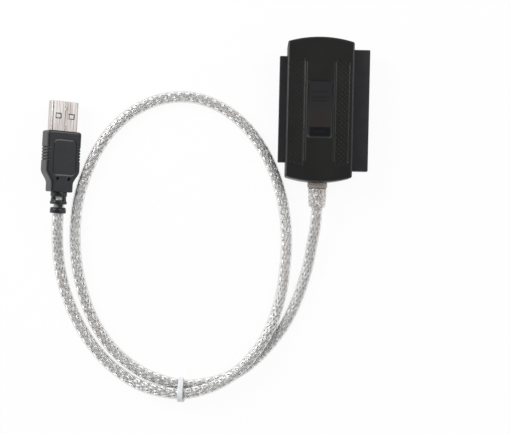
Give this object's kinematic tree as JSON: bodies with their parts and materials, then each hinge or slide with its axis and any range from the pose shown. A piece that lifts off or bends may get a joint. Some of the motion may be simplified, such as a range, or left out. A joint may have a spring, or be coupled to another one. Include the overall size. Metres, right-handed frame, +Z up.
{
  "type": "usb to sata adapter",
  "caption": "Small black drive adapter box with two pin sockets, a shrouded drive port and a braided clear cable that ends in a USB plug.",
  "frame": {"origin": "centre of the housing's flat underside", "axes": "+Y along the housing from the cable to the SATA port, +X to the 40-pin socket, +Z up from the underside to the label"},
  "size_m": [0.1391, 0.1569, 0.0162],
  "materials": {
    "housing_plastic": "satin moulded, finely textured",
    "socket_plastic": "plain moulded",
    "plug_plastic": "satin moulded",
    "clear_vinyl": "clear, slightly smoky",
    "cable_jacket": "clear jacket over a tinned braid",
    "nylon": "natural nylon",
    "shell_steel": "nickel-plated sheet",
    "white_plastic": "plain moulded",
    "gold": "gold-plated",
    "board": "green solder mask",
    "chip_plastic": "moulded epoxy",
    "crystal_can": "drawn can",
    "tantalum": "moulded",
    "ceramic": "fired ceramic",
    "core_red": "insulated core",
    "core_white": "insulated core",
    "core_green": "insulated core",
    "core_black": "insulated core",
    "tinned_copper": "tinned wire"
  },
  "bodies": {
    "root": {"top_cover": "housing_plastic", "bottom_cover": "housing_plastic", "circuit_board": "board", "ide40_socket": "socket_plastic", "ide44_socket": "socket_plastic", "sata_housing": "socket_plastic", "sata_contact_1": "gold", "sata_contact_2": "gold", "sata_contact_3": "gold", "sata_contact_4": "gold", "sata_contact_5": "gold", "sata_contact_6": "gold", "sata_contact_7": "gold", "bridge_chip": "chip_plastic", "crystal": "crystal_can", "regulator": "chip_plastic", "capacitor_1": "tantalum", "capacitor_2": "tantalum", "capacitor_3": "ceramic", "capacitor_4": "ceramic", "wire_red": "core_red", "wire_white": "core_white", "wire_green": "core_green", "wire_black": "core_black", "wire_shield": "tinned_copper", "strain_relief": "clear_vinyl", "cable": "cable_jacket", "cable_tie": "nylon", "usb_plug_body": "plug_plastic", "usb_shell": "shell_steel", "usb_tongue": "white_plastic", "usb_contact_1": "gold", "usb_contact_2": "gold", "usb_contact_3": "gold", "usb_contact_4": "gold"}
  },
  "joints": []
}
